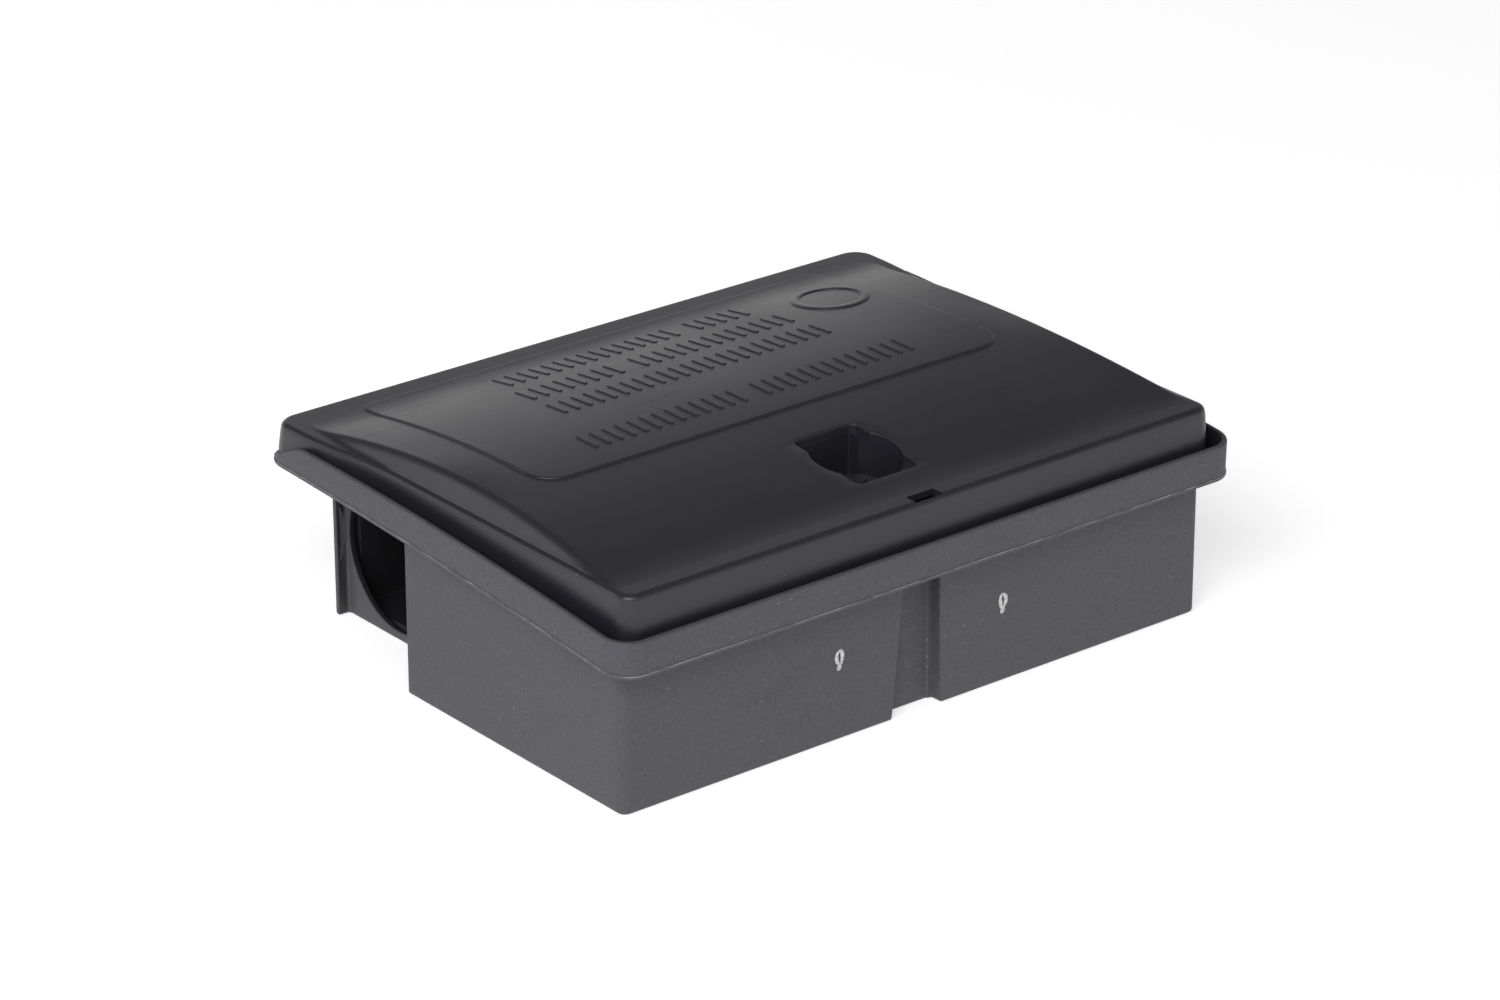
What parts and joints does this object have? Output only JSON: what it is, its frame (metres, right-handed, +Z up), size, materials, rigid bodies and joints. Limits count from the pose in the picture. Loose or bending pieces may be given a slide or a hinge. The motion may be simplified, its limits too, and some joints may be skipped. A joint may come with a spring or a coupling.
{
  "type": "bait station",
  "caption": "Low rectangular plastic box for rodent bait with a hinged, key-locked arched lid, a gutter rim, round side entrances at the rear, and bait trays inside.",
  "frame": {"origin": "centre of the underside, at the middle of the rim's outline", "axes": "+X to the right along the hinge axis, +Y to the hinge side, +Z up"},
  "size_m": [0.24, 0.1784, 0.0769],
  "materials": {
    "base_plastic": "matt, finely textured",
    "lid_plastic": "satin",
    "tray_plastic": "satin",
    "lock_plastic": "satin",
    "steel": "zinc plated",
    "bait_wax": "waxy with grain"
  },
  "bodies": {
    "station": {"base_tray": "base_plastic", "inner_baffle": "tray_plastic", "bait_tray_left": "tray_plastic", "bait_tray_right": "tray_plastic", "bait_rod_left": "steel", "bait_rod_right": "steel", "bait_block_left_inner": "bait_wax", "bait_block_left_middle": "bait_wax", "bait_block_left_outer": "bait_wax", "bait_block_right_inner": "bait_wax", "bait_block_right_middle": "bait_wax", "bait_block_right_outer": "bait_wax", "hinge_pin_left": "steel", "hinge_pin_right": "steel"},
    "lid": {"lid_shell": "lid_plastic", "lock_washer": "steel"},
    "lock": {"lock_barrel": "lock_plastic", "lock_cam": "steel", "cam_screw": "steel"}
  },
  "joints": [
    {"name": "lid_hinge", "type": "hinge", "parent": "station", "child": "lid", "pos_m": [0, 0.0864, 0.0634], "axis": [-1, 0, 0], "range_deg": [0, 95]},
    {"name": "lock_turn", "type": "hinge", "parent": "lid", "child": "lock", "pos_m": [0, -0.0488, 0.0584], "axis": [0, 0, -1], "range_deg": [0, 90]}
  ]
}
